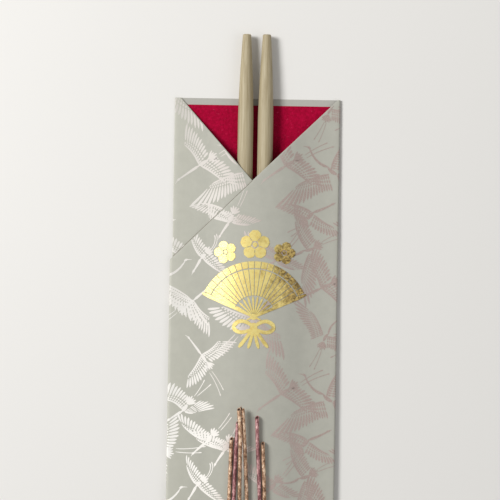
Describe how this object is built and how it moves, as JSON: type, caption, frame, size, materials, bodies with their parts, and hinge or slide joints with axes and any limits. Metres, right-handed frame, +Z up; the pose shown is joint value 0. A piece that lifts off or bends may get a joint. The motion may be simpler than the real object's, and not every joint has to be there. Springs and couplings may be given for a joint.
{
  "type": "celebration chopsticks",
  "caption": "Round wooden chopsticks with tapered ends in a folded paper sleeve, tied with gold and red paper cords in a flat knot.",
  "frame": {"origin": "middle of the whole object's box, on the surface it lies on", "axes": "+Y along the sleeve towards the stick tips, +Z up out of the sleeve's front, +X to the right of the front"},
  "size_m": [0.0796, 0.271, 0.0157],
  "materials": {
    "patterned_paper": "silvery grey-green paper with pearly cranes",
    "red_paper": "fibrous crimson paper",
    "pale_wood": "plain sanded pale wood",
    "gold_cord": "paper cord wrapped in crinkled gold foil",
    "red_cord": "paper cord wrapped in wine-red foil",
    "gold_foil": "bright hot-stamped gold foil",
    "pearl_ink": "pearly white to mauve ink"
  },
  "bodies": {
    "root": {"sleeve": "patterned_paper", "red_lining": "red_paper", "chopstick_left": "pale_wood", "chopstick_right": "pale_wood", "cord_gold_long": "gold_cord", "cord_red": "red_cord", "cord_gold_short": "gold_cord"}
  },
  "joints": []
}
